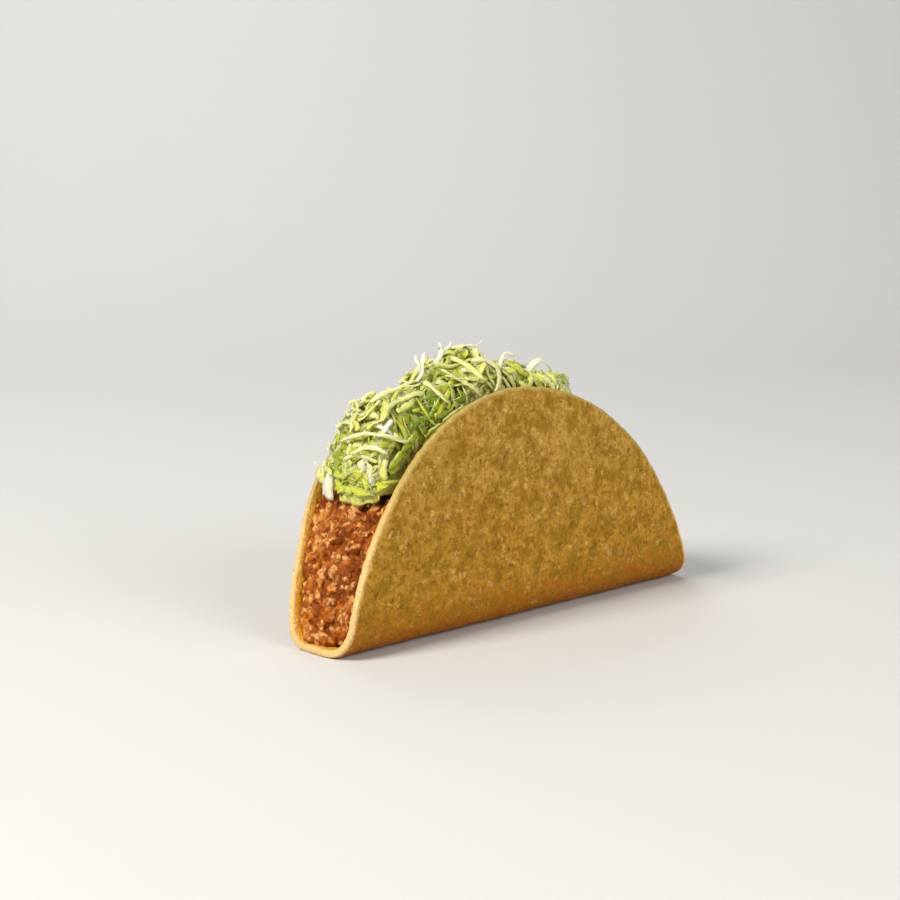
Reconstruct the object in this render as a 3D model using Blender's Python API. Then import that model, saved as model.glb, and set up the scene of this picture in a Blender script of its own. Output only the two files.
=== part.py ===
"""A crisp corn taco: a folded, fried tortilla that holds a layer of seasoned mince and a heap of shredded lettuce.

Metres, +Z up. The fold runs along X and rests on Z = 0 with its flat foot centred on the origin. The near wall is on
the -Y side and stands almost upright; the far wall, on the +Y side, flares. Three closed solids are made:
tortilla_shell, mince_filling and shredded_lettuce.
"""

from collections import namedtuple
from math import acos, asin, cos, exp, pi, radians, sin, sqrt

import bmesh
import bpy
from mathutils import Vector, noise

# The flat tortilla, before it is folded
TORTILLA_RADIUS = 0.0700       # half its length along the fold
OVALNESS = 1.03                # half its width across the fold, over half its length
THICKNESS = 0.0023
RIM_BULGE = 0.0004             # how far the cut edge rounds out past the two faces
RIM_WAVES = (                  # slow waves of the cut outline: waves per turn, depth, phase
    (2, 0.00030, pi),
    (3, 0.00075, radians(-20)),
    (4, 0.00030, radians(-52)),
)
RIM_BULGES = (                 # local bulges and dents of it: angle, depth, angle over which it fades
    (radians(0), 0.0032, radians(13)),
    (radians(35), -0.0009, radians(11)),
    (radians(-148), -0.0012, radians(12)),
)

# The fold
FOOT_WIDTH = 0.0100            # flat strip that the taco stands on
FOLD_OFFSET = 0.0022           # how far the tortilla's middle lies from the foot's, towards the near wall
Wall = namedtuple("Wall", "side radius flare curl")
NEAR = Wall(                   # the near wall
    side=-1,
    radius=0.0082,             # of the fold's mid-surface, between the foot and the wall
    flare=radians(4.0),        # of the wall from upright, where it leaves the fold
    curl=5.0,                  # how fast it curls back in, in radians per metre of wall
)
FAR = Wall(side=1, radius=0.0062, flare=radians(18.0), curl=0.0)
RIPPLE = 0.00035               # slow warp of the fried walls, across their faces
RIPPLE_LENGTH = 0.047

# The fillings
CLEARANCE = 0.0005             # air between pieces that touch
MINCE_LEVEL = 0.0400           # height of the mince at its two ends
MINCE_CROWN = 0.0040           # how much higher it is in the middle
MINCE_RECESS = 0.0030          # how far its ends lie inside the tortilla's cut edge
MINCE_LUMP = 0.0035            # depth of the crumbled relief on its ends
MINCE_CRUMB = 0.0036           # size of its lumps
LETTUCE_CREST = (              # the heap's height along X, from end to end: place, height
    (-0.0545, 0.0510),
    (-0.0500, 0.0630),
    (-0.0450, 0.0670),
    (-0.0400, 0.0658),
    (-0.0340, 0.0682),
    (-0.0290, 0.0676),
    (-0.0180, 0.0715),
    (-0.0110, 0.0732),
    (-0.0050, 0.0772),
    (0.0110, 0.0728),
    (0.0290, 0.0668),
    (0.0400, 0.0570),
    (0.0510, 0.0440),
)
LETTUCE_LENGTHS = (1, 0.87)    # how much of that length the heap has along the near and far walls
LETTUCE_SHOULDER = 0.0030      # how far the heap's sides stay below the tortilla's cut edge
LETTUCE_GAPS = (0.0030, 0.0012)  # how far the shoulders pull away from the near and far walls
LETTUCE_TUFT = 0.0050          # depth of its uneven outline
LETTUCE_END_BULGE = 0.0035

# Mesh density
FOLD_ROWS = 18                 # rows of faces round the fold
WALL_ROWS = 11                 # rows up each wall
SHELL_COLUMNS = 24             # columns along the fold
FOLD_BAND = 0.0170             # half the width of tortilla that the fold rows cover
MINCE_STATIONS = 15
MINCE_HIGH = 15                # rows of faces up the mince's ends
MINCE_WIDE = 9                 # columns across them
LETTUCE_STATIONS = 31
LETTUCE_CAP_RINGS = 5


def wall_walk(run, wall):
    """Walk `run` metres up one wall from the middle of the foot: distance out, height, and slope of the wall."""
    half_foot = FOOT_WIDTH / 2
    turn = pi / 2 - wall.flare
    if run <= half_foot:
        return run, 0.0, 0.0
    if run <= half_foot + wall.radius * turn:
        slope = (run - half_foot) / wall.radius
        return half_foot + wall.radius * sin(slope), wall.radius * (1 - cos(slope)), slope
    out = half_foot + wall.radius * sin(turn)
    up = wall.radius * (1 - cos(turn))
    rest = run - half_foot - wall.radius * turn
    if wall.curl == 0.0:
        return out + rest * cos(turn), up + rest * sin(turn), turn
    slope = turn + wall.curl * rest
    return out + (sin(slope) - sin(turn)) / wall.curl, up + (cos(turn) - cos(slope)) / wall.curl, slope


def run_to_height(height, wall):
    """The walk up one wall that reaches `height` above the table."""
    turn = pi / 2 - wall.flare
    start = FOOT_WIDTH / 2 + wall.radius * turn
    rise = height - THICKNESS / 2 - wall.radius * (1 - cos(turn))
    if wall.curl == 0.0:
        return start + rise / sin(turn)
    return start + (acos(cos(turn) - wall.curl * rise) - turn) / wall.curl


def fade_in(value, start, end):
    """0 below start, 1 above end, smooth between."""
    share = min(1.0, max(0.0, (value - start) / (end - start)))
    return share * share * (3 - 2 * share)


def warp(x, across):
    """How far the fried wall bows out of its smooth shape; nothing at the foot."""
    slow = sin(2 * pi * x / RIPPLE_LENGTH + 1.1) * cos(2 * pi * across / (1.6 * RIPPLE_LENGTH) + 0.4)
    return RIPPLE * slow * fade_in(abs(across), 0.012, 0.030)


def bend(x, across, inward=0.0):
    """Where a point of the flat tortilla goes in the folded one. `across` is positive on the far wall, and `inward`
    is its distance from the mid-surface towards the filling."""
    wall = FAR if across >= 0 else NEAR
    out, up, slope = wall_walk(abs(across), wall)
    depth = inward + warp(x, across)
    return Vector((x, wall.side * (out - depth * sin(slope)), up + depth * cos(slope) + THICKNESS / 2))


def cut_outline(angle):
    """A point of the tortilla's cut edge as (x, across), at an angle from +X in the flat tortilla."""
    radius = TORTILLA_RADIUS + sum(depth * cos(count * angle - phase) for count, depth, phase in RIM_WAVES)
    for middle, depth, spread in RIM_BULGES:
        away = (angle - middle + pi) % (2 * pi) - pi
        radius += depth * exp(-(away / spread) ** 2)
    return radius * cos(angle), -radius * OVALNESS * sin(angle) - FOLD_OFFSET


def row_angles():
    """Angles of the shell's rows, from the near wall's top to the far wall's, closer together round the fold."""
    band = asin(FOLD_BAND / TORTILLA_RADIUS)
    wall = [band + (pi / 2 - band) * i / WALL_ROWS for i in range(1, WALL_ROWS)]
    fold = [asin(sin(band) * (2 * i / FOLD_ROWS - 1)) for i in range(FOLD_ROWS + 1)]
    return [-a for a in reversed(wall)] + fold + wall


def add_grid(bm, rows, closed=False):
    """Faces between neighbouring rows of vertices; a closed grid also joins each row's end to its start."""
    for low, high in zip(rows, rows[1:]):
        count = len(low)
        for i in range(count if closed else count - 1):
            j = (i + 1) % count
            bm.faces.new((low[i], low[j], high[j], high[i]))


def add_fan(bm, tip, row, closed=False):
    """Triangles from one vertex to each pair of neighbours in a row."""
    for i in range(len(row) if closed else len(row) - 1):
        bm.faces.new((tip, row[i], row[(i + 1) % len(row)]))


def finished(name, bm, colour, roughness):
    """An object with its own material from a closed bmesh, faces pointing out."""
    bmesh.ops.recalc_face_normals(bm, faces=bm.faces)
    mesh = bpy.data.meshes.new(name)
    bm.to_mesh(mesh)
    bm.free()
    mesh.shade_smooth()
    mesh.set_sharp_from_angle(angle=radians(50))
    material = bpy.data.materials.new(name)
    material.use_nodes = True
    shader = material.node_tree.nodes["Principled BSDF"]
    shader.inputs["Base Color"].default_value = (*colour, 1.0)
    shader.inputs["Roughness"].default_value = roughness
    shader.inputs["Metallic"].default_value = 0.0
    mesh.materials.append(material)
    made = bpy.data.objects.new(name, mesh)
    bpy.context.scene.collection.objects.link(made)
    return made


def face_of_shell(bm, inward):
    """One face of the tortilla: its rows of vertices, and the vertex at the top of each wall."""
    rows = []
    for angle in row_angles():
        right = cut_outline(-angle)
        left = cut_outline(pi + angle)
        row = []
        for i in range(SHELL_COLUMNS + 1):
            share = i / SHELL_COLUMNS
            x = left[0] + (right[0] - left[0]) * share
            across = left[1] + (right[1] - left[1]) * share
            row.append(bm.verts.new(bend(x, across, inward)))
        rows.append(row)
    near_top = bm.verts.new(bend(*cut_outline(pi / 2), inward))
    far_top = bm.verts.new(bend(*cut_outline(-pi / 2), inward))
    add_grid(bm, rows)
    add_fan(bm, near_top, rows[0])
    add_fan(bm, far_top, rows[-1])
    return [near_top] + [r[0] for r in rows] + [far_top] + [r[-1] for r in reversed(rows)]


def tortilla_shell():
    """The folded tortilla, with a cut edge that rounds out between its two faces."""
    bm = bmesh.new()
    outside = face_of_shell(bm, -THICKNESS / 2)
    inside = face_of_shell(bm, THICKNESS / 2)
    crown = []
    for outer, inner in zip(outside, inside):
        middle = (outer.co + inner.co) / 2
        crown.append(bm.verts.new(middle))
    for i, vert in enumerate(crown):
        along = (crown[(i + 1) % len(crown)].co - crown[i - 1].co).normalized()
        through = (outside[i].co - inside[i].co).normalized()
        vert.co = vert.co + through.cross(along).normalized() * RIM_BULGE
    add_grid(bm, [outside, crown, inside], closed=True)
    return finished("tortilla_shell", bm, (0.56, 0.33, 0.10), 0.62)


def half_length(across):
    """Half the tortilla's length along X at a distance from the foot's middle."""
    return TORTILLA_RADIUS * cos(asin(min(1.0, abs(across + FOLD_OFFSET) / (TORTILLA_RADIUS * OVALNESS))))


def mince_level(x):
    """Height of the mince's smooth top, which the lettuce lies on."""
    return MINCE_LEVEL + MINCE_CROWN * (1 - (x / TORTILLA_RADIUS) ** 2)


def mince_section(share):
    """One loop of the mince's outline, at a share of its length: up the far wall from the foot, back over the top,
    and down the near wall."""
    inward = THICKNESS / 2 + CLEARANCE
    level = mince_level(share * TORTILLA_RADIUS)
    far_top = run_to_height(level, FAR)
    near_top = -run_to_height(level, NEAR)

    def skin(across):
        return bend(share * (half_length(across) - MINCE_RECESS), across, inward)

    far_side = [skin(far_top * i / MINCE_HIGH) for i in range(MINCE_HIGH + 1)]
    near_side = [skin(near_top * i / MINCE_HIGH) for i in range(MINCE_HIGH, 0, -1)]
    start, end = far_side[-1], near_side[0]
    start.z = end.z = level
    top = [start.lerp(end, i / MINCE_WIDE) for i in range(1, MINCE_WIDE)]
    return far_side + top + near_side


def mince_end(bm, loop, side):
    """The crumbled face at one end of the mince: rungs from the far wall to the near one, from the foot up."""
    rungs = []
    for i in range(1, MINCE_HIGH):
        far, near = loop[i], loop[-i]
        rung = [far]
        for k in range(1, MINCE_WIDE):
            point = far.co.lerp(near.co, k / MINCE_WIDE)
            point.x += side * MINCE_LUMP * noise.noise(point / MINCE_CRUMB)
            rung.append(bm.verts.new(point))
        rungs.append(rung + [near])
    rungs.append(loop[MINCE_HIGH:MINCE_HIGH + MINCE_WIDE + 1])
    add_fan(bm, loop[0], rungs[0])
    add_grid(bm, rungs)


def mince_filling():
    """The mince, wedged in the fold, out to its crumbled face at each end."""
    bm = bmesh.new()
    stations = [2 * i / (MINCE_STATIONS - 1) - 1 for i in range(MINCE_STATIONS)]
    loops = [[bm.verts.new(p) for p in mince_section(s)] for s in stations]
    add_grid(bm, loops, closed=True)
    mince_end(bm, loops[0], -1)
    mince_end(bm, loops[-1], 1)
    return finished("mince_filling", bm, (0.42, 0.115, 0.022), 0.48)


def crest_height(x):
    """Height of the lettuce heap's crest, in straight runs between the named places."""
    points = LETTUCE_CREST
    for (x0, z0), (x1, z1) in zip(points, points[1:]):
        if x <= x1:
            return z0 + (z1 - z0) * (x - x0) / (x1 - x0)
    return points[-1][1]


def cut_edge_run(x):
    """How far up each wall the tortilla reaches at a place along X: (near, far)."""
    reach = TORTILLA_RADIUS * OVALNESS * sin(acos(min(1.0, abs(x) / TORTILLA_RADIUS)))
    return reach + FOLD_OFFSET, reach - FOLD_OFFSET


def lettuce_section(x):
    """One loop of the lettuce heap's outline: over the mince from near to far, up the far wall, over the crown and
    down the near wall."""
    inward = THICKNESS / 2 + CLEARANCE
    floor_steps, side_steps, crown_steps = 6, 3, 16
    floor = mince_level(x) + CLEARANCE
    low, shoulder = [], []
    for wall, reach, gap, length in zip((NEAR, FAR), cut_edge_run(x), LETTUCE_GAPS, LETTUCE_LENGTHS):
        start = run_to_height(floor, wall)
        stop = max(start + LETTUCE_SHOULDER, reach - LETTUCE_SHOULDER)
        low.append(bend(x * length, wall.side * start, inward))
        low[-1].z = floor
        steps = [(i / side_steps, start + (stop - start) * i / side_steps) for i in range(1, side_steps + 1)]
        shoulder.append([bend(x * length, wall.side * run, inward + gap * s) for s, run in steps])
    bottom = [low[0].lerp(low[1], i / floor_steps) for i in range(floor_steps + 1)]
    far, near = shoulder[1][-1], shoulder[0][-1]
    crest = max(crest_height(x), max(far.z, near.z) + 0.002)
    crown = []
    for i in range(1, crown_steps):
        turn = pi * i / crown_steps
        share = (1 - cos(turn)) / 2
        point = far.lerp(near, share)
        point.z += (crest - (far.z + near.z) / 2) * sin(turn) ** 0.8
        tuft = noise.noise(point / 0.0095) * sin(turn) ** 0.5
        point += Vector((0, 0.35 * cos(turn), 1)) * LETTUCE_TUFT * tuft
        crown.append(point)
    return bottom + shoulder[1] + crown + list(reversed(shoulder[0]))


def lettuce_end(bm, loop, side):
    """A domed cap of rings that shrink to a point."""
    centre = sum((v.co for v in loop), Vector()) / len(loop)
    rings = [loop]
    for k in range(1, LETTUCE_CAP_RINGS):
        shrink = 1 - k / LETTUCE_CAP_RINGS
        dome = Vector((side * LETTUCE_END_BULGE * sqrt(1 - shrink ** 2), 0, 0))
        rings.append([bm.verts.new(centre.lerp(v.co, shrink) + dome) for v in loop])
    add_grid(bm, rings, closed=True)
    add_fan(bm, bm.verts.new(centre + Vector((side * LETTUCE_END_BULGE, 0, 0))), rings[-1], closed=True)


def shredded_lettuce():
    """The heap of shredded lettuce on the mince, out to its uneven outline."""
    bm = bmesh.new()
    low, high = LETTUCE_CREST[0][0], LETTUCE_CREST[-1][0]
    stations = [low + (high - low) * i / (LETTUCE_STATIONS - 1) for i in range(LETTUCE_STATIONS)]
    loops = [[bm.verts.new(p) for p in lettuce_section(x)] for x in stations]
    add_grid(bm, loops, closed=True)
    lettuce_end(bm, loops[0], -1)
    lettuce_end(bm, loops[-1], 1)
    return finished("shredded_lettuce", bm, (0.50, 0.62, 0.17), 0.40)


def main():
    for old in list(bpy.data.objects):
        bpy.data.objects.remove(old)
    tortilla_shell()
    mince_filling()
    shredded_lettuce()


main()
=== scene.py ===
# %% [markdown]
# # A crisp corn taco
# A fried corn tortilla, folded in half, holds a layer of seasoned mince and a heap of shredded lettuce.
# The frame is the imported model: three plain solids at their real size. Each piece made here takes the
# place of one of them, or lies on it, so sizes and positions are read from the frame wherever they can
# be. The tortilla is one continuous sheet. The mince and the lettuce are heaps of small things, and those
# are made one by one over a smaller core, because a heap only looks loose when light can fall between its
# parts.

# %% Load the frame
from math import cos, pi, radians, sin

import bmesh
import bpy
import numpy as np
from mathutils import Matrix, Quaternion, Vector, noise
from mathutils.bvhtree import BVHTree
from mathutils.kdtree import KDTree


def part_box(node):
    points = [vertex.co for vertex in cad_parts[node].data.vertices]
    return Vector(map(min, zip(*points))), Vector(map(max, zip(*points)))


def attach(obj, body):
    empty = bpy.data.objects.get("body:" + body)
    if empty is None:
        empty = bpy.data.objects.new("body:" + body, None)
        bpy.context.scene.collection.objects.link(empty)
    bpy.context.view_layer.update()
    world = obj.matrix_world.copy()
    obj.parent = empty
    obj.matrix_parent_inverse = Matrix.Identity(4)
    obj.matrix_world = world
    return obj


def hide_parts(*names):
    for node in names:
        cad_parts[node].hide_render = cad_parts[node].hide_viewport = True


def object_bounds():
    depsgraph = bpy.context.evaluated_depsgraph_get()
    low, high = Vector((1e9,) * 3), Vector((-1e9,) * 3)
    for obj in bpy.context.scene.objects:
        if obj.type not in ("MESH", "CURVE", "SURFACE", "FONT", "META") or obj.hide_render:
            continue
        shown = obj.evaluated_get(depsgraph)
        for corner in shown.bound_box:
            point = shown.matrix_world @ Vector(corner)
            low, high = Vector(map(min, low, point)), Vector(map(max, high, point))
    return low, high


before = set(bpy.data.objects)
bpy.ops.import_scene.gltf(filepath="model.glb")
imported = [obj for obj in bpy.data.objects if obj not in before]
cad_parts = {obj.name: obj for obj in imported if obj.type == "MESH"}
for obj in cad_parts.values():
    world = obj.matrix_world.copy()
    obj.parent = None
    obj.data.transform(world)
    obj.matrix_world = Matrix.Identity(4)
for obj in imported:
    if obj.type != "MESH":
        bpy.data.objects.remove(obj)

MM = 0.001
cad_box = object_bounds()
shell_low, shell_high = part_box("tortilla_shell")
mince_low, mince_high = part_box("mince_filling")
_, heap_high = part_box("shredded_lettuce")
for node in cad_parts:
    low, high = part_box(node)
    print(node, [round(v / MM, 1) for v in high - low], "mm")


# %% [markdown]
# ## Writing materials as sums
# Every finish below is a mix of noises and masks. Written node by node, that is long and hard to read, so
# one small class wraps an output socket and turns arithmetic on it into Math nodes. All other nodes come
# from one method, which takes the node's type, its settings and its inputs.

# %% A socket that can be added, multiplied and mixed
class Wire:
    """One output of a material's nodes. Arithmetic on it adds Math nodes."""

    def __init__(self, finish, socket):
        self.finish = finish
        self.socket = socket

    def sum(self, operation, left, right):
        """One Math node for one operation."""
        return self.finish.node("ShaderNodeMath", {"operation": operation}, {0: left, 1: right})

    def __add__(self, other):
        return self.sum("ADD", self, other)

    def __sub__(self, other):
        return self.sum("SUBTRACT", self, other)

    def __rsub__(self, other):
        return self.sum("SUBTRACT", other, self)

    def __mul__(self, other):
        return self.sum("MULTIPLY", self, other)

    __radd__ = __add__
    __rmul__ = __mul__


# %% A finish: one material and the ways to add to it
class Finish:
    """A material under construction."""

    def __init__(self, name):
        self.material = bpy.data.materials.new(name)
        self.material.use_nodes = True
        self.tree = self.material.node_tree
        self.shader = self.tree.nodes["Principled BSDF"]
        self.place = self.node("ShaderNodeTexCoord", {}, {}, "Object")

    def node(self, kind, settings, values, output=0):
        """Adds a node: its settings first, then its inputs, by name or by order among those in use."""
        made = self.tree.nodes.new(kind)
        for key, value in settings.items():
            if key == "stops":
                self.set_stops(made.color_ramp, value)
            else:
                setattr(made, key, value)
        used = [s for s in made.inputs if s.enabled]
        by_name = {s.name: s for s in reversed(used)}
        for key, value in values.items():
            self.feed(used[key] if isinstance(key, int) else by_name[key], value)
        outputs = [s for s in made.outputs if s.enabled]
        found = outputs[output] if isinstance(output, int) else made.outputs[output]
        return Wire(self, found)

    def set_stops(self, ramp, stops):
        """Sets a colour ramp's stops from (place, colour) pairs."""
        for place, _ in stops[2:]:
            ramp.elements.new(place)
        for element, (place, colour) in zip(ramp.elements, stops):
            element.position = place
            element.color = (*colour, 1.0)

    def feed(self, socket, value):
        """Links a wire to a socket, or sets the socket to a plain value."""
        if isinstance(value, Wire):
            self.tree.links.new(value.socket, socket)
        elif hasattr(value, "__len__") and len(value) == 3 and socket.type == "RGBA":
            socket.default_value = (*value, 1.0)
        else:
            socket.default_value = value

    def set(self, **values):
        """Feeds the shader's own sockets; Base_Color stands for Base Color."""
        for key, value in values.items():
            self.feed(self.shader.inputs[key.replace("_", " ")], value)

    def attribute(self, name):
        """A number stored on the mesh."""
        return self.node("ShaderNodeAttribute", {"attribute_name": name}, {}, "Fac")

    def grain(self, size, detail=2.0, roughness=0.5, distortion=0.0):
        """Noise from 0 to 1 whose spots are about `size` metres across."""
        values = {"Vector": self.place, "Scale": 1 / size, "Detail": detail, "Roughness": roughness}
        return self.node("ShaderNodeTexNoise", {}, {**values, "Distortion": distortion})

    def cells(self, size):
        """Distance to the nearest of scattered points, about `size` metres apart."""
        return self.node("ShaderNodeTexVoronoi", {}, {"Vector": self.place, "Scale": 1 / size}, "Distance")

    def step(self, wire, low, high):
        """A mask: 0 below low, 1 above high, smooth between."""
        settings = {"interpolation_type": "SMOOTHSTEP", "clamp": True}
        return self.node("ShaderNodeMapRange", settings, {0: wire, 1: low, 2: high})

    def mix(self, first, second, share):
        """A colour between two, at a share that may be a wire."""
        return self.node("ShaderNodeMix", {"data_type": "RGBA"}, {0: share, 1: first, 2: second})

    def bump(self, height, distance, strength=1.0, onto=None):
        """Bends the normal as if the surface rose by height times distance."""
        values = {"Height": height, "Distance": distance, "Strength": strength}
        if onto is not None:
            values["Normal"] = onto
        return self.node("ShaderNodeBump", {}, values)

    def told(self):
        """Prints how many nodes the finish took, and hands it on."""
        print("finish", self.material.name, len(self.tree.nodes), "nodes")
        return self


# %% [markdown]
# ## Making pieces
# Meshes here are worked out as arrays of points, because a heap has tens of thousands of them. One helper
# turns arrays into an object, and another makes that object a piece of the taco: it stores numbers on the
# points for the finish to read, lets the piece ride on the taco's only body and gives it its finish.

# %% From arrays to an object
def add_object(name, data):
    """An object for a mesh, a light or a camera, linked into the scene."""
    made = bpy.data.objects.new(name, data)
    bpy.context.scene.collection.objects.link(made)
    return made


def add_mesh(name, points, faces):
    """A mesh object from an array of points and a list or an array of faces."""
    mesh = bpy.data.meshes.new(name)
    mesh.from_pydata(points.tolist(), [], faces if isinstance(faces, list) else faces.tolist())
    return add_object(name, mesh)


# %% From an object to a piece
def make_piece(name, points, faces, finish, attributes):
    """A smooth piece of the taco, with numbers stored on its points."""
    piece = add_mesh(name, points, faces)
    for key, values in attributes.items():
        stored = piece.data.attributes.new(key, "FLOAT", "POINT")
        stored.data.foreach_set("value", np.asarray(values, np.float32))
    piece.data.shade_smooth()
    piece.data.materials.append(finish.material)
    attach(piece, "root")
    print(name, len(points), "points", len(faces), "faces")
    return piece


# %% Noise and fades for whole arrays
def noise_at(points, size, seed):
    """Smooth noise, about -1 to 1, at many points."""
    shift = Vector((seed * 7.31, seed * 3.17, seed * 5.53))
    return np.array([noise.noise(Vector(p) / size + shift) for p in points])


def fade(value, start, end):
    """0 below start, 1 above end, smooth between."""
    share = np.clip((value - start) / (end - start), 0, 1)
    return share * share * (3 - 2 * share)


print("a fade from 0 to 1 passes", [round(float(fade(step / 4, 0, 1)), 2) for step in range(5)])


# %% [markdown]
# ## The shape of the tortilla
# A taco shell starts as a flat disc and is bent over a form in hot oil, so it curves one way only: along
# X it stays straight. The surest way to model that is to make the flat disc and then bend it, point by
# point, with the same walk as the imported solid: a flat foot, a round fold to each side, then the two
# walls. The near wall curls back in a little, and the far wall leans out.

# %% The fold, as a walk from the middle of the foot
FOOT_WIDTH = 10.0 * MM
FOLD_OFFSET = 2.2 * MM
NEAR = {"radius": 8.2 * MM, "flare": radians(4.0), "curl": 5.0}
FAR = {"radius": 6.2 * MM, "flare": radians(18.0), "curl": 0.0}
CLEARANCE = 0.5 * MM
THICKNESS = mince_low.z - CLEARANCE


def wall_walk(run, radius, flare, curl):
    """Distance out, height and slope after walking `run` metres from the middle of the foot up one wall."""
    turn = pi / 2 - flare
    slope = np.clip((run - FOOT_WIDTH / 2) / radius, 0, turn)
    rest = np.maximum(run - FOOT_WIDTH / 2 - radius * turn, 0)
    out = np.minimum(run, FOOT_WIDTH / 2) + radius * np.sin(slope)
    up = radius * (1 - np.cos(slope))
    if curl == 0.0:
        return out + rest * cos(turn), up + rest * sin(turn), slope
    end = turn + curl * rest
    out = out + (np.sin(end) - sin(turn)) / curl
    up = up + (cos(turn) - np.cos(end)) / curl
    return out, up, slope + curl * rest


print("tortilla", round(THICKNESS / MM, 2), "mm thick, folded round", NEAR["radius"] / MM, "mm")

# %% Bend the flat tortilla along that walk
RIPPLE = 0.35 * MM
RIPPLE_LENGTH = 47.0 * MM


def bend(x, across, inward):
    """Where points of the flat tortilla go when it is folded, `inward` metres from its middle surface."""
    near = np.stack(wall_walk(np.abs(across), **NEAR))
    far = np.stack(wall_walk(np.abs(across), **FAR))
    out, up, slope = np.where(across >= 0, far, near)
    slow = np.sin(2 * pi * x / RIPPLE_LENGTH + 1.1) * np.cos(2 * pi * across / (1.6 * RIPPLE_LENGTH) + 0.4)
    depth = inward + RIPPLE * slow * fade(np.abs(across), 12 * MM, 30 * MM)
    y = np.sign(across) * (out - depth * np.sin(slope))
    return np.stack([x, y, up + depth * np.cos(slope) + THICKNESS / 2], axis=-1)


near_top, far_top = bend(np.zeros(2), np.array([-1, 1]) * (shell_high.x - shell_low.x) / 2, 0.0)
print("its walls' tops are", round((far_top - near_top)[1] / MM, 1), "mm apart")


# %% [markdown]
# ## The tortilla's surface
# Fried masa is never smooth. It has shallow blisters about as wide as a pea, a skin pebbled with pimples
# and dents, and a cut edge that crumbles. Those change the outline, so they are real shape in the mesh;
# finer pits and grain, up to about two millimetres wide, stay in the material. The disc is a polar grid
# that runs from the middle of the outer face, round the cut edge, to the middle of the inner face, which
# makes it one closed sheet.

# %% The flat tortilla's outline
def flat_outline(angle):
    """Radius of the cut edge: slow waves and local bulges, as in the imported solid."""
    waves = ((2, 0.30, pi), (3, 0.75, radians(-20)), (4, 0.30, radians(-52)))
    bulges = ((0, 3.2, radians(13)), (radians(35), -0.9, radians(11)), (radians(-148), -1.2, radians(12)))
    radius = 70.0 + sum(depth * np.cos(count * angle - phase) for count, depth, phase in waves)
    for middle, depth, spread in bulges:
        away = (angle - middle + pi) % (2 * pi) - pi
        radius = radius + depth * np.exp(-((away / spread) ** 2))
    return radius * MM


SECTORS = 600
angles = np.arange(SECTORS) * 2 * pi / SECTORS
outline = flat_outline(angles)
print("the cut edge lies", round(min(outline) / MM, 1), "to", round(max(outline) / MM, 1), "mm out")

# %% Blisters, pimples and dents
BLISTER = 0.6 * MM
PIMPLE = 0.20 * MM
DENT = 0.35 * MM
UNEVENNESS = 0.15 * MM


def face_relief(x, across, seed):
    """How far one face stands out from the even sheet. The foot stays even."""
    flat = np.stack([x, across, np.zeros_like(x)], axis=-1)
    blisters = np.clip(noise_at(flat, 7.0 * MM, seed) - 0.18, 0, None) * BLISTER
    pimples = np.clip(noise_at(flat, 2.4 * MM, seed + 4), -0.2, None) * PIMPLE
    dents = np.clip(noise_at(flat, 3.6 * MM, seed + 1) - 0.25, 0, None) * -DENT
    slow = noise_at(flat, 16 * MM, seed + 2) * UNEVENNESS
    return (blisters + pimples + dents + slow) * fade(np.abs(across), 4.5 * MM, 10 * MM)


# %% Rows of points, from the middle of the outer face to the middle of the inner face
FACE_RINGS = 62
EDGE_ROWS = 7
CROWDING = 1.15  # above 1, the rings crowd towards the cut edge
EDGE_BULGE = 0.45 * MM


def sheet_rows():
    """For each row: its share of the radius, its depth in the sheet and how far the cut edge bulges."""
    ring_shares = 1 - (1 - np.arange(1, FACE_RINGS + 1) / FACE_RINGS) ** CROWDING
    edge = np.arange(1, EDGE_ROWS + 1) / (EDGE_ROWS + 1)
    shares = np.concatenate([ring_shares, np.ones(EDGE_ROWS), ring_shares[::-1]])
    through = np.concatenate([np.full(FACE_RINGS, -0.5), edge - 0.5, np.full(FACE_RINGS, 0.5)])
    bulge = np.zeros(len(shares))
    bulge[FACE_RINGS:-FACE_RINGS] = EDGE_BULGE * np.sqrt(1 - (2 * edge - 1) ** 2)
    return list(zip(shares, through, bulge))


def sheet_faces(rows):
    """Four-sided faces between the rows, and a fan of triangles round the middle of each face."""
    low = np.arange(SECTORS)
    high = (low + 1) % SECTORS
    faces = []
    for row in range(rows - 1):
        here = row * SECTORS
        there = here + SECTORS
        faces += np.stack([here + high, here + low, there + low, there + high], axis=-1).tolist()
    last = (rows - 1) * SECTORS
    faces += np.stack([low, high, np.full(SECTORS, rows * SECTORS)], axis=-1).tolist()
    faces += np.stack([last + high, last + low, np.full(SECTORS, rows * SECTORS + 1)], axis=-1).tolist()
    return faces


print(len(sheet_rows()), "rows of", SECTORS, "points")

# %% Build the tortilla
RIM_RADIUS = (shell_high.x - shell_low.x) / 2 - 0.3 * MM  # of the circle where the rim's noise is read
OVALNESS = 1.03
EDGE_CRUMBLE = 0.20 * MM
EDGE_THINNING = 0.22 * MM
OUTER_SEED = 21
INNER_SEED = 31


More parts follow.
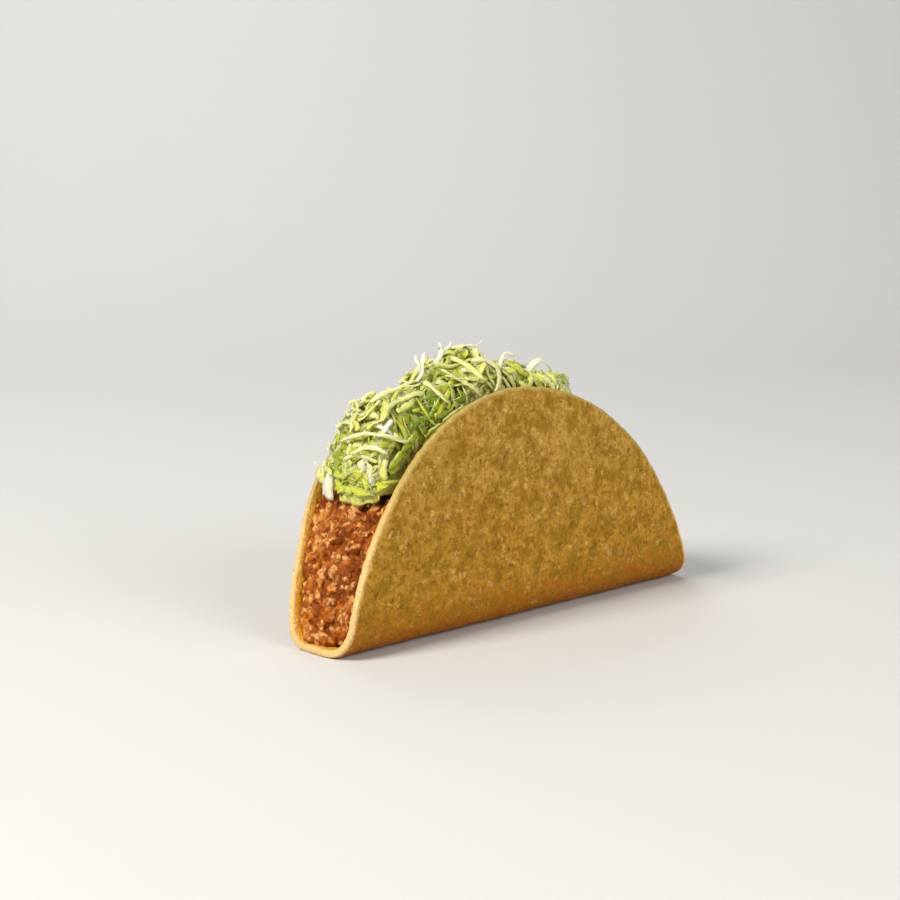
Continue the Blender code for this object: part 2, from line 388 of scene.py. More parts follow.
def build_tortilla(finish):
    """The folded tortilla as one closed sheet, with how near the cut edge and the inner face a point is."""
    radius = flat_outline(angles)
    rim = np.stack([np.cos(angles), np.sin(angles), np.zeros(SECTORS)], axis=-1) * RIM_RADIUS
    crumble = noise_at(rim, 2.1 * MM, 11) + 0.6 * noise_at(rim, 0.9 * MM, 12)
    rows = sheet_rows()
    points = []
    cut_edge = []
    inner = []
    for share, depth, extra in rows:
        layer = rim + np.array([0, 0, depth * THICKNESS * 3])
        rough = crumble + (0.8 * noise_at(layer, 0.8 * MM, 13) if share == 1 else 0)
        near_edge = fade(share, 0.975, 1.0)
        reach = share * radius + extra + near_edge * EDGE_CRUMBLE * rough
        x = reach * np.cos(angles)
        across = -reach * OVALNESS * np.sin(angles) - FOLD_OFFSET
        inward = depth * THICKNESS
        if abs(depth) == 0.5:
            side = np.sign(depth)
            relief = face_relief(x, across, OUTER_SEED if side < 0 else INNER_SEED)
            inward = inward + side * relief * (1 - 0.6 * near_edge)
            inward = inward - side * EDGE_THINNING * fade(share, 0.985, 1.0)
        points.append(bend(x, across, inward))
        cut_edge.append(np.full(SECTORS, max(near_edge * 0.7, 1.0 if extra > 0 else 0.0)))
        inner.append(np.full(SECTORS, depth + 0.5))
    middles = bend(np.zeros(2), np.full(2, -FOLD_OFFSET), np.array([-0.5, 0.5]) * THICKNESS)
    points = np.concatenate([*points, middles])
    points[:, 2] = np.maximum(points[:, 2], shell_low.z)
    stored = {"cut_edge": np.concatenate([*cut_edge, [0, 0]]), "inner": np.concatenate([*inner, [0, 1]])}
    faces = sheet_faces(len(rows))
    piece = make_piece("fried_tortilla", points, faces, finish, stored)
    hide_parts("tortilla_shell")


# %% [markdown]
# ## The tortilla's finish
# Fried corn is a matt ochre with a little oil on it. Its colour changes on three scales: broad clouds of
# two ochres; a mottle of olive and pale patches a few millimetres wide; and grains and specks of toasted
# corn skin about a millimetre wide. It changes with height too: the top stayed driest and is paler, a
# golden band lies below it, and the fold is painted a darker orange, partly its own colour and partly
# painted shade where the wall comes down to the table. The inner face kept more oil and is deeper in
# colour. The cut edge was inside the dough, so it is pale, and its upper part is painted darker, as
# painted shade against the light from above. The height in the object and two numbers stored on the mesh
# tell the finish where a point lies.

# %% Fried corn
def fried_corn():
    """Matt fried corn, from the broad clouds down to the specks, then the fold, the inside and the edge."""
    finish = Finish("fried_corn")
    height = finish.node("ShaderNodeSeparateXYZ", {}, {0: finish.place}, "Z")
    clouds = finish.step(finish.grain(14 * MM, 3.0, 0.6), 0.36, 0.66)
    mottle = finish.step(finish.grain(5.0 * MM, 3.0, 0.65), 0.42, 0.60)
    grains = finish.step(finish.grain(1.5 * MM, 3.0, 0.7), 0.38, 0.66)
    pale = finish.step(finish.grain(2.3 * MM, 3.0, 0.7, 0.3), 0.53, 0.66)
    patchy = finish.step(finish.grain(7.0 * MM, 3.0, 0.6), 0.40, 0.62)
    toasted = finish.step(finish.grain(2.0 * MM, 3.0, 0.7), 0.57, 0.68)
    specks = finish.step(finish.grain(0.9 * MM, 2.0, 0.6), 0.61, 0.70)
    base = finish.mix((0.52, 0.293, 0.033), (0.585, 0.287, 0.030), clouds)
    dry = finish.step(height + 8 * MM * clouds, 30 * MM, 54 * MM)
    base = finish.mix(base, (0.56, 0.350, 0.076), dry * 0.55)
    golden = 1.0 - finish.step(height + 8 * MM * patchy, 12 * MM, 34 * MM)
    base = finish.mix(base, (0.58, 0.27, 0.010), golden * 0.50)
    base = finish.mix(base, (0.31, 0.162, 0.006), mottle * 0.78)
    base = finish.mix(base, (0.86, 0.55, 0.160), pale * (0.25 + 0.40 * patchy))
    base = finish.mix(base, (0.25, 0.106, 0.005), grains * 0.54)
    base = finish.mix(base, (0.16, 0.060, 0.004), toasted * 0.62)
    base = finish.mix(base, (0.08, 0.028, 0.003), specks * 0.55)
    # painted shade: the fold is darkened towards the table, partly a deeper orange of its own
    fold = 1.0 - finish.step(height + 6 * MM * mottle, 3 * MM, 19 * MM)
    base = finish.mix(base, (0.36, 0.100, 0.000), fold * (0.66 + 0.28 * patchy))
    inner = finish.step(finish.attribute("inner"), 0.5, 1.0)
    base = finish.mix(base, (0.90, 0.44, 0.042), inner * 0.80)
    edge = finish.attribute("cut_edge")
    crumb = finish.step(finish.grain(0.8 * MM, 2.0), 0.30, 0.70)
    cut = finish.mix((0.90, 0.62, 0.27), (0.76, 0.48, 0.18), crumb)
    # painted shade: the upper part of the cut edge is darkened against the light from above
    painted_edge_shade = finish.step(height + 6 * MM * patchy, 24 * MM, 54 * MM)
    cut = finish.mix(cut, (0.46, 0.335, 0.09), painted_edge_shade * 0.85)
    base = finish.mix(base, cut, finish.step(edge + 0.25 * crumb, 0.45, 0.95))
    pits = finish.cells(1.3 * MM)
    skin = finish.grain(0.5 * MM, 3.0, 0.6)
    swell = finish.grain(2.2 * MM, 3.0, 0.6)
    normal = finish.bump(swell, 0.80 * MM, 0.9)
    normal = finish.bump(pits * 0.7 + skin, 0.40 * MM, 0.9, normal)
    finish.set(Base_Color=base, Normal=normal, Specular_IOR_Level=0.20, Specular_Tint=(1.0, 0.78, 0.40))
    finish.set(Roughness=0.58 - 0.12 * clouds + 0.12 * grains)
    return finish.told()


build_tortilla(fried_corn())


# %% [markdown]
# ## Reading the solids
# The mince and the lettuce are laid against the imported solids. A BVH tree finds, for any point, the
# nearest place on a solid and which way is out, and it can also say what a ray meets first. That is how a
# crumb knows that it is on a face that can be seen, and a shred of lettuce how deep it lies in the heap.

# %% Search trees for the solids
def tree_of(node):
    """A search tree over one solid's faces."""
    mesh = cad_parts[node].data
    corners = [v.co.copy() for v in mesh.vertices]
    return BVHTree.FromPolygons(corners, [list(p.vertices) for p in mesh.polygons])


trees = {node: tree_of(node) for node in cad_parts}
print("search trees for", *trees)


# %% Which places of a solid can be seen
def seen_from(node, direction, count, rng):
    """Places of a solid that `count` random rays in a direction meet first, and the way out at each."""
    travel = Vector(direction).normalized()
    side = travel.orthogonal().normalized()
    other = travel.cross(side)
    centre = (cad_box[0] + cad_box[1]) / 2
    reach = (cad_box[1] - cad_box[0]).length / 2
    found = []
    for u, v in rng.uniform(-reach, reach, (count, 2)):
        origin = centre - travel * 2 * reach + side * u + other * v
        hits = {name: tree.ray_cast(origin, travel) for name, tree in trees.items()}
        hits = {name: hit for name, hit in hits.items() if hit[0] is not None}
        if hits and min(hits, key=lambda name: hits[name][3]) == node:
            place, out, _, _ = hits[node]
            found.append((place, out if out.dot(travel) < 0 else -out))
    return found


def thinned(found, spacing, most):
    """Keeps places that lie at least `spacing` apart, and no more than `most` of them."""
    kept = []
    cells = {}
    steps = [(i, j, k) for i in (-1, 0, 1) for j in (-1, 0, 1) for k in (-1, 0, 1)]
    for place, out in found:
        cell = tuple(int(c // spacing) for c in place)
        near = [tuple(c + s for c, s in zip(cell, step)) for step in steps]
        if any((place - other).length < spacing for c in near for other in cells.get(c, [])):
            continue
        cells.setdefault(cell, []).append(place)
        kept.append((place, out))
    return kept[:most]


# %% [markdown]
# ## Even meshes
# Balls pushed into each other are no skin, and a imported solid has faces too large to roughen. A voxel
# remesh mends both: it fills the space inside the closed meshes with small cubes and lays one mesh of
# even faces round them. Each heap gets a core in that way, a little smaller than its solid, so that
# nothing shows through between the small things that are laid on it.

# %% One even skin
def remeshed(points, faces, voxel):
    """The union of closed meshes as one mesh of even faces: points, the way out at each, and faces."""
    piece = add_mesh("raw", points, faces)
    mesh = piece.data
    modifier = piece.modifiers.new("even_faces", "REMESH")
    modifier.mode = "VOXEL"
    modifier.voxel_size = voxel
    bpy.context.view_layer.update()
    even = bpy.data.meshes.new_from_object(piece.evaluated_get(bpy.context.evaluated_depsgraph_get()))
    size = len(even.vertices)
    found = np.zeros(size * 3)
    normals = np.zeros(size * 3)
    even.vertices.foreach_get("co", found)
    even.vertices.foreach_get("normal", normals)
    even_faces = [list(p.vertices) for p in even.polygons]
    bpy.data.objects.remove(piece)
    bpy.data.meshes.remove(mesh)
    bpy.data.meshes.remove(even)
    return found.reshape(size, 3), normals.reshape(size, 3), even_faces


# %% A core
def core_of(node, name, shrink, voxel, lump, finish, attributes):
    """A smaller, rougher copy of a solid, which closes the view between the small things laid on it."""
    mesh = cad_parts[node].data
    corners = np.array([v.co for v in mesh.vertices])
    points, normals, faces = remeshed(corners, [list(p.vertices) for p in mesh.polygons], voxel)
    rough = noise_at(points, 2.4 * lump, 41) + 0.5 * noise_at(points, 1.2 * lump, 42)
    points = points + normals * (lump * rough - shrink)[:, None]
    values = {key: np.full(len(points), value) for key, value in attributes.items()}
    made = make_piece(name, points, faces, finish, values)
    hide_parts(node)


# %% [markdown]
# ## The mince
# Cooked, seasoned mince is a mass of torn crumbs one to four millimetres across, held together by orange
# oil and sauce. Only its two ends and a strip of its top can be seen. So crumbs are laid where rays from
# outside meet the solid: large ones first, then smaller ones into the gaps, each sunk a little in it.
# Separate balls look like gravel, so they are merged into one skin by a voxel remesh, which fills the
# creases as sauce does, and the skin is roughened afterwards. Each point of it keeps the tone of the
# crumb that it is nearest to.

# %% The mince's finish
def wet_mince(name, dark):
    """Sauce-coated meat. `dark` darkens it as painted shade for the core, which is seen only in the gaps.
    """
    finish = Finish(name)
    broad = finish.step(finish.grain(5.0 * MM, 2.0, 0.6), 0.38, 0.64)
    fine = finish.step(finish.grain(1.5 * MM, 2.0, 0.6, 0.2), 0.36, 0.66)
    tone = finish.attribute("tone")
    crease = finish.attribute("crease")
    sauce = finish.mix((0.46, 0.105, 0.003), (0.18, 0.028, 0.002), broad)
    meat = finish.mix((0.25, 0.062, 0.006), (0.70, 0.33, 0.095), fine)
    base = finish.mix(sauce, meat, finish.step(tone + 0.4 * fine - 0.5 * broad, 0.20, 0.85))
    oil = finish.step(finish.grain(3.2 * MM, 2.0), 0.56, 0.70)
    base = finish.mix(base, (0.62, 0.18, 0.006), oil * 0.60)
    base = finish.mix(base, (0.17, 0.040, 0.004), finish.step(1.0 - tone + 0.3 * fine, 0.75, 1.05) * 0.65)
    base = finish.mix(base, (0.80, 0.42, 0.155), finish.step(tone + 0.3 * fine, 0.80, 1.15) * 0.55)
    # painted shade: the skin is darkened where it lies deep in the creases between crumbs
    base = finish.mix(base, (0.13, 0.022, 0.002), finish.step(crease, -0.2, 0.8) * 0.75)
    base = finish.mix(base, (0.12, 0.022, 0.003), dark)
    normal = finish.bump(finish.grain(1.1 * MM, 3.0, 0.6), 0.35 * MM, 0.8)
    normal = finish.bump(finish.grain(0.45 * MM, 3.0, 0.6), 0.14 * MM, 0.8, normal)
    finish.set(Base_Color=base, Normal=normal, Roughness=0.34 + 0.26 * fine)
    finish.set(Specular_IOR_Level=0.26, Specular_Tint=(1.0, 0.70, 0.42))
    return finish.told()


# %% One round crumb, and room for it
# radius, spacing, the most that are laid, and how far they sink, as a share of the radius
CRUMB_KINDS = (
    (1.75 * MM, 2.5 * MM, 420, 0.65),
    (1.05 * MM, 1.6 * MM, 1300, 0.50),
    (0.65 * MM, 1.1 * MM, 2600, 0.30),
)


def round_crumb():
    """Points and faces of a ball of radius 1, for every crumb to be shaped from."""
    ball = bmesh.new()
    bmesh.ops.create_icosphere(ball, subdivisions=3, radius=1.0)
    points = np.array([v.co for v in ball.verts])
    faces = np.array([[v.index for v in f.verts] for f in ball.faces])
    ball.free()
    return points, faces


def off_the_shell(point, room):
    """A point moved away from the tortilla, until it has that much room on the tortilla's inner side."""
    place, out, _, _ = trees["tortilla_shell"].find_nearest(point)
    away = (point - place).dot(out)
    return point + out * (room - away) if away < room and (point - place).length < 2 * room else point


ball, ball_faces = round_crumb()
print("a crumb starts as", len(ball), "points and", len(ball_faces), "faces")

# %% Lay the crumbs
FALLEN = 26
MINCE_VIEWS = ((1, 0, 0), (1, 0.35, -0.3), (1, -0.35, -0.3), (0.6, 0, -1), (0.9, 0, 0.3))
MINCE_RAYS = 5000


def lay_crumbs(rng):
    """Torn, lumpy crumbs on the mince's open faces: points, faces, and each crumb's middle and tone."""
    found = []
    for direction in MINCE_VIEWS:
        for way in (1, -1):
            found += seen_from("mince_filling", (direction[0] * way, *direction[1:]), MINCE_RAYS, rng)
    rng.shuffle(found)
    laid = []
    for radius, spacing, most, sink in CRUMB_KINDS:
        for place, out in thinned(found, spacing, most):
            size = radius * rng.uniform(0.7, 1.3)
            laid.append((place - out * size * (sink + rng.uniform(-0.3, 0.3)), size))
    for i in range(FALLEN):
        size = rng.uniform(0.7, 1.3) * MM
        end = mince_low.x + rng.uniform(-0.2, 1.5) * MM if i % 2 else mince_high.x + rng.uniform(-1, 3) * MM
        laid.append((Vector((end, rng.uniform(-5, 5) * MM, THICKNESS + 0.6 * size)), size))
    points, faces, crumbs = [], [], []
    for i, (centre, size) in enumerate(laid):
        lumps = noise_at(ball, 0.8, 50 + i) * 0.45 + noise_at(ball, 0.36, 90 + i) * 0.25
        shape = ball * (1 + lumps)[:, None] * rng.uniform(0.6, 1.25, 3)
        turn = Quaternion(rng.normal(size=4)).normalized().to_matrix()
        centre = off_the_shell(centre, size)
        points.append(shape @ np.array(turn).T * size + np.array(centre))
        faces.append(ball_faces + len(ball) * i)
        crumbs.append((*centre, rng.uniform()))
    print(len(crumbs), "crumbs")
    return np.concatenate(points), np.concatenate(faces), np.array(crumbs)


# %% Merge the crumbs under their sauce
CRUMB_VOXEL = 0.38 * MM


def sauce_over(raw_points, raw_faces, crumbs, finish):
    """Merges the crumbs into one skin, and stores each point's tone and its depth in a crease, in mm."""
    points, normals, faces = remeshed(raw_points, raw_faces, CRUMB_VOXEL)
    tree = KDTree(len(crumbs))
    for i, crumb in enumerate(crumbs):
        tree.insert(crumb[:3], i)
    tree.balance()
    tones = [crumbs[tree.find(point)[1], 3] for point in points]
    creases = []
    for point in points:
        place, out, _, _ = trees["mince_filling"].find_nearest(point)
        creases.append((place - Vector(point)).dot(out) / MM)
    rough = noise_at(points, 1.3 * MM, 61) * 0.16 * MM + noise_at(points, 0.7 * MM, 62) * 0.10 * MM
    points = points + normals * rough[:, None]
    points = np.array([off_the_shell(Vector(point), 0.1 * MM) for point in points])
    make_piece("mince_crumbs", points, faces, finish, {"tone": tones, "crease": creases})


# painted shade: the core shows only in the gaps, so its finish and its crease value darken it
core_of(
    "mince_filling", "mince_core", 0.4 * MM, 1.0 * MM, 0.5 * MM, wet_mince("mince_shade", 0.10),
    {"tone": 0.3, "crease": 0.35},
)
sauce_over(*lay_crumbs(np.random.default_rng(7)), wet_mince("wet_mince", 0.0))


# %% [markdown]
# ## The lettuce
# Crisp lettuce is cut across the rolled leaf, so each shred is a ribbon one to five millimetres wide and
# as thick as the leaf. There are three kinds: thick white rib, thin leaf, and broad pieces of green leaf.
# A heap of them is a tangle: they lie on each other and on the mince, curl, and stick out at the top.
# Ribbons placed at random would pass through each other, so the shreds are laid down first as chains of
# points and pushed apart, and only then given a body.

# %% The kinds of shred
# share of the heap, depth as a share of the deepest, width and thickness in millimetres, greenness, strips
# across, how blunt the ends are, how ragged the edges are, and how deep the crumples are, in millimetres
KINDS = {
    "rib": {"share": 0.24, "layer": (0.03, 0.8), "width": (1.0, 2.1), "thickness": (0.38, 0.65),
            "green": (0.0, 0.22), "strips": 2, "blunt": 0.70, "ragged": 0.20, "crumple": 0.35},
    "leaf": {"share": 0.54, "layer": (0.03, 1.0), "width": (1.5, 3.2), "thickness": (0.26, 0.40),
             "green": (0.05, 0.45), "strips": 2, "blunt": 0.55, "ragged": 0.20, "crumple": 0.70},
    "broad": {"share": 0.22, "layer": (0.25, 0.9), "width": (3.2, 5.6), "thickness": (0.26, 0.36),
              "green": (0.30, 0.60), "strips": 4, "blunt": 0.50, "ragged": 0.35, "crumple": 1.5},
}
LINK = 1.5 * MM
DEEPEST = 4.6 * MM


def new_chain(points, kind, depth=0.0, lift=0.0, fixed=True, facing=None, **given):
    """A shred to be: the points it runs through, how deep it lies, if it may move and what it faces."""
    known = {"points": points, "kind": kind, "depth": depth, "lift": lift, "fixed": fixed, "facing": facing}
    return {**known, **given}


print("kinds of shred:", *KINDS)

# %% Keep a point on the heap and between the walls
SHRED_GAP = 1.10 * MM
WALL_GAP = SHRED_GAP * 0.6
NEAR_WALL_GAP = 1.2 * MM  # the near wall curls in, so shreds keep further off it
heap_tree = trees["shredded_lettuce"]


def heap_surface(point):
    """The nearest place on the heap's outline, and the way out there."""
    place, out, _, _ = heap_tree.find_nearest(point)
    return place, out


def between_walls(point, margin, near_margin=0.0):
    """Moves a point that is in or too near one of the tortilla's walls back to its inner side."""
    inside = Vector((point[0], (shell_low.y + shell_high.y) / 4, point[2]))
    for way, room in ((-1, max(margin, near_margin)), (1, margin)):
        hit = trees["tortilla_shell"].ray_cast(inside, Vector((0, way, 0)))[0]
        if hit is not None and (point[1] - hit.y) * way > -room:
            point[1] = hit.y - way * room


# %% Lay shreds all over the heap
WANDER = 0.9 * MM
WANDER_LENGTH = 8 * MM
TURNING = 230  # radians a metre
TOP_ROOM = 0.8 * MM  # how far a shred's middle may rise above the solid's top
HEAP_VIEWS = ((0, 0, -1), (0.9, 0.5, -0.5), (-0.9, 0.5, -0.5), (0.9, -0.5, -0.4), (-0.9, -0.5, -0.4))
HEAP_RAYS = 6000


def walk_on_heap(start, heading, length, depth, curl, lift, rng):
    """A chain that follows the heap's outline at a depth, turning as it goes, with a lift at its end."""
    count = max(4, int(length / LINK))
    point = start.copy()
    chain = []
    wander = rng.uniform(0, 100)
    for i in range(count):
        place, out = heap_surface(point)
        rise = lift * max(0.0, i / (count - 1) - 0.5) / 0.5
        wave = WANDER * noise.noise(Vector((i * LINK / WANDER_LENGTH, wander, 0)))
        point = place - out * (depth + wave) + Vector((0.3 * out.x, 0.3 * out.y, 1)) * rise
        point.z = min(point.z, heap_high.z + TOP_ROOM)
        between_walls(point, WALL_GAP, NEAR_WALL_GAP)
        chain.append(point.copy())
        heading = heading - out * heading.dot(out)
        turn = curl + TURNING * noise.noise(Vector((wander, i * LINK / WANDER_LENGTH, 0)))
        heading = Quaternion(out, turn * LINK) @ heading.normalized()
        point = point + heading * LINK
    return chain


def lay_shreds(count, rng):
    """Chains all over the heap: where each lies, how deep and how it curls is drawn at random."""
    starts = []
    for direction in HEAP_VIEWS:
        starts += seen_from("shredded_lettuce", direction, HEAP_RAYS, rng)
    rng.shuffle(starts)
    kind_shares = [known["share"] for known in KINDS.values()]
    chains = []
    for place, out in thinned(starts, 1.3 * MM, count):
        kind = str(rng.choice(list(KINDS), p=kind_shares))
        depth = DEEPEST * rng.uniform(*KINDS[kind]["layer"])
        length = rng.uniform(9, 28) * MM
        spin = Quaternion(out, rng.uniform(0, 2 * pi))
        heading = spin @ out.orthogonal().normalized()
        curl = rng.normal(0, 80)
        near_crest = depth < 2.5 * MM and place.z > 0.75 * heap_high.z
        loose = kind != "broad" and near_crest and rng.uniform() < 0.3
        lift = rng.uniform(1.0, 3.0) * MM if loose else 0.0
        points = walk_on_heap(place, heading, length, depth, curl, lift, rng)
        chains.append(new_chain(points, kind, depth, lift, fixed=False))
    return chains


# %% Let a few shreds hang at the ends
END_FACING = Vector((-0.85, -0.45, 0.25))
FAR_END_FACING = Vector((0.90, -0.20, 0.30))
END_RAYS = 5000


def hang_shreds(rng):
    """Loose shreds across the heap's lower edge at both ends, so that it does not end in a line."""
    chains = []
    for way, count, facing in ((-1, 5, END_FACING), (1, 16, FAR_END_FACING)):
        seen = seen_from("shredded_lettuce", (-way, 0, -0.1), END_RAYS, rng)
        lowest = min(place.z for place, _ in seen)
        low = [spot for spot in seen if spot[0].z < lowest + 4 * MM and (way > 0 or spot[0].y > 4 * MM)]
        for place, out in thinned(low, 1.8 * MM, count):
            point = place.copy()
            heading = Vector((0.4 * way, rng.uniform(-1.2, 1.2), -0.7)).normalized()
            point -= heading * rng.uniform(2, 5) * MM
            points = []
            for _ in range(int(rng.uniform(6, 12) * MM / LINK)):
                hits = [trees[node].find_nearest(point) for node in ("shredded_lettuce", "mince_filling")]
                surface, out, _, _ = min(hits, key=lambda hit: (point - hit[0]).dot(hit[1]))
                point = surface + out * rng.uniform(0.4, 0.8) * MM
                between_walls(point, WALL_GAP)
                points.append(point.copy())
                heading = (heading - out * heading.dot(out)).normalized()
                point = point + Quaternion(out, rng.normal(0, 0.3)) @ heading * LINK
            kind = str(rng.choice(["leaf", "rib"], p=[0.75, 0.25]))
            chains.append(new_chain(points, kind, facing=facing))
    return chains


# %% [markdown]
# ## Listed shreds
# A few shreds give this heap its look from the front: white pieces of rib and crossing pieces of leaf at
# the open end, thin pale arcs above them, a loop, and the tufts that stand up along the crest. Those are
# listed one by one and stay where they are; all the others have to make way for them. A smooth curve
# through a few places is enough for each.

# %% Where they run
# kind, width, greenness (below 0 is whitest) and what the shred faces, then the places it runs through;
# the width and the places are in millimetres
HAND_LAID = (
    ("rib", 2.8, -0.18, "end", (-50.6, 12.4, 47.1), (-52.5, 12.0, 44.3), (-53.2, 11.6, 41.4),
     (-52.7, 11.4, 38.5)),
    ("rib", 2.0, -0.10, "end", (-50.5, 14.6, 45.1), (-51.7, 14.6, 42.4), (-52.4, 14.2, 39.5)),
    ("broad", 4.2, 0.52, "end", (-51.2, 11.0, 42.8), (-53.0, 4.0, 42.9), (-53.3, -2.0, 43.5),
     (-53.0, -7.2, 44.4), (-52.1, -10.6, 45.3)),
    ("broad", 3.4, 0.38, "end", (-51.9, 9.0, 40.4), (-52.9, 2.5, 40.3), (-53.3, -3.5, 40.9),
     (-52.7, -8.5, 42.4)),
    ("broad", 4.6, -0.10, "end", (-52.3, -0.5, 51.1), (-52.7, -3.0, 48.5), (-53.0, -6.0, 45.6)),
    ("leaf", 3.0, 0.34, "end", (-52.3, 3.5, 50.4), (-53.0, 4.0, 47.6), (-52.9, 2.5, 45.0)),
    ("leaf", 2.8, 0.30, "end", (-51.4, -9.5, 52.2), (-52.4, -9.0, 49.5), (-52.4, -10.5, 47.0)),
    ("leaf", 2.0, 0.55, "end", (-51.3, 10.0, 46.9), (-51.4, 6.5, 48.2), (-51.4, 2.5, 49.3)),
    ("leaf", 2.2, 0.12, "end", (-52.6, 0.0, 46.2), (-52.4, 3.0, 44.1), (-52.8, 5.5, 41.8)),
    ("leaf", 1.5, 0.05, "end", (-53.1, 3.0, 52.4), (-52.2, -0.5, 54.4), (-51.1, -4.5, 54.8),
     (-49.6, -8.0, 53.4)),
    ("leaf", 1.3, 0.08, "end", (-51.6, 8.0, 49.4), (-51.9, 3.5, 51.7), (-51.6, -1.0, 51.9),
     (-51.4, -5.5, 51.1)),
    ("leaf", 1.2, 0.04, "heap", (-48.8, 11.6, 54.6), (-50.0, 6.3, 56.4), (-50.3, 1.3, 57.8),
     (-50.6, -4.1, 58.5), (-48.3, -7.2, 57.8), (-44.4, -8.1, 56.4), (-39.5, -7.9, 55.0)),
    ("rib", 1.3, -0.25, "heap", (-44.9, -5.0, 61.8), (-47.2, -5.0, 59.8), (-48.5, -4.0, 56.6)),
    ("leaf", 1.3, -0.20, "heap", (-47.7, 0.0, 60.4), (-47.5, -3.0, 59.9), (-45.9, -6.0, 58.4),
     (-44.6, -7.0, 56.2)),
    ("leaf", 1.2, 0.06, "heap", (-43.4, 16.6, 58.6), (-44.2, 13.8, 63.0), (-44.6, 10.8, 65.4),
     (-46.0, 7.6, 64.4), (-47.2, 6.9, 62.2), (-46.6, 7.6, 60.2)),
    ("leaf", 1.2, 0.06, "heap", (-47.8, 15.2, 54.8), (-46.8, 14.6, 57.9), (-47.9, 9.6, 59.9),
     (-49.2, 6.6, 58.6), (-49.8, 7.6, 56.2)),
    ("rib", 1.1, -0.20, "heap", (-50.0, 17.0, 46.6), (-51.6, 18.0, 47.2), (-52.4, 18.6, 48.2)),
    ("rib", 1.1, -0.20, "heap", (-47.6, 14.0, 49.8), (-49.4, 14.6, 50.8), (-50.6, 15.0, 52.4)),
    ("rib", 2.0, -0.25, "heap", (-26.2, 4.8, 69.6), (-23.6, 5.2, 72.0), (-23.4, 5.8, 75.0),
     (-21.6, 6.4, 77.0)),
    ("leaf", 1.2, -0.20, "heap", (-24.4, 5.6, 71.8), (-24.0, 6.2, 73.8), (-24.8, 6.8, 75.4),
     (-24.2, 7.2, 76.4)),
    ("rib", 1.7, -0.25, "heap", (-17.2, 7.0, 73.4), (-14.6, 7.2, 75.6), (-13.6, 7.8, 77.6),
     (-14.4, 8.2, 79.0)),
    ("leaf", 1.3, -0.15, "heap", (-14.0, 7.6, 75.4), (-12.2, 8.0, 77.0), (-10.4, 8.2, 77.6),
     (-9.4, 8.0, 78.8)),
    ("leaf", 1.5, -0.10, "heap", (-13.4, 9.6, 74.6), (-10.2, 8.6, 77.2), (-7.9, 6.0, 77.9),
     (-4.9, 5.0, 77.6), (-2.7, 4.0, 78.2), (-1.4, 3.2, 79.4)),
    ("leaf", 1.6, 0.06, "heap", (-8.8, 0.9, 74.0), (-6.7, -1.2, 74.5), (-3.8, -2.7, 73.2),
     (-2.1, -3.9, 70.6), (-2.9, -4.9, 67.6), (-5.3, -5.3, 65.5)),
    ("rib", 1.4, -0.20, "heap", (3.2, 1.0, 71.4), (5.4, 2.6, 73.2), (8.4, 3.5, 74.4), (11.8, 3.5, 73.4)),
    ("rib", 2.2, -0.25, "heap", (16.0, 2.0, 68.6), (19.2, 2.6, 70.6), (22.4, 3.0, 71.2), (25.4, 3.0, 69.8),
     (26.6, 2.6, 67.6)),
    ("leaf", 2.2, 0.50, "heap", (24.0, -1.0, 66.8), (27.4, 0.4, 67.4), (30.2, 0.6, 66.2),
     (31.8, -0.4, 63.4)),
    ("leaf", 2.0, 0.30, "heap", (-42.5, -4.0, 63.6), (-39.5, -4.0, 64.4), (-35.7, -4.0, 65.9)),
    ("leaf", 2.4, 0.85, "heap", (-34.0, -6.9, 56.0), (-27.0, -6.6, 58.9), (-22.0, -6.3, 60.9),
     (-16.9, -6.0, 62.8)),
    ("leaf", 2.2, 0.90, "heap", (-49.0, -8.4, 49.0), (-46.0, -8.5, 52.0), (-41.9, -7.9, 55.0),
     (-37.7, -6.8, 56.9)),
    ("rib", 1.7, 0.03, "heap", (-45.0, 3.4, 66.0), (-41.0, 2.5, 67.9), (-34.6, 3.2, 68.8),
     (-27.8, 5.4, 69.6)),
    ("leaf", 1.8, 0.12, "heap", (-44.6, -2.2, 64.3), (-38.9, -0.5, 65.8), (-34.2, -1.5, 67.1),
     (-28.6, -1.0, 67.4)),
    ("rib", 1.5, 0.05, "heap", (-25.3, 3.0, 69.7), (-26.1, -1.4, 68.3), (-25.1, -3.9, 66.0),
     (-23.2, -5.3, 64.2)),
    ("leaf", 1.8, 0.10, "heap", (-18.2, 4.0, 72.3), (-16.5, 0.4, 70.7), (-15.5, -2.8, 69.1),
     (-13.2, -4.7, 67.2), (-10.4, -5.4, 64.6)),
    ("rib", 1.5, 0.04, "heap", (-10.6, 8.8, 74.6), (-10.2, 4.0, 73.8), (-10.0, -1.0, 71.9),
     (-8.4, -4.0, 69.0)),
)


print(len(HAND_LAID), "shreds laid by hand")

# %% Curves through those places
BROAD_WALL_GAP = 1.0 * MM


def smooth_line(points, step):
    """Even points on a smooth curve through a chain."""
    count = len(points)
    lengths = np.concatenate([[0], np.cumsum(np.linalg.norm(np.diff(points, axis=0), axis=1))])
    rings = max(6, int(lengths[-1] / step))
    at = np.linspace(0, lengths[-1], rings)
    index = np.clip(np.searchsorted(lengths, at, side="right") - 1, 0, count - 2)
    share = ((at - lengths[index]) / (lengths[index + 1] - lengths[index]))[:, None]
    before = points[np.maximum(index - 1, 0)]
    after = points[np.minimum(index + 2, count - 1)]
    here = points[index]
    there = points[index + 1]
    square = 2 * before - 5 * here + 4 * there - after
    cube = 3 * here - before - 3 * there + after
    return (2 * here + (there - before) * share + square * share ** 2 + cube * share ** 3) / 2


def hand_laid_shreds():
    """A chain along each curve, which keeps the width and the greenness it was given."""
    chains = []
    for kind, width, green, facing, *places in HAND_LAID:
        line = smooth_line(np.array(places) * MM, LINK)
        for point in line:
            between_walls(point, 0.5 * width * MM if kind != "broad" else BROAD_WALL_GAP)
        facing = END_FACING if facing == "end" else None
        chains.append(new_chain(list(line), kind, facing=facing, width=width * MM, green=green))
    return chains


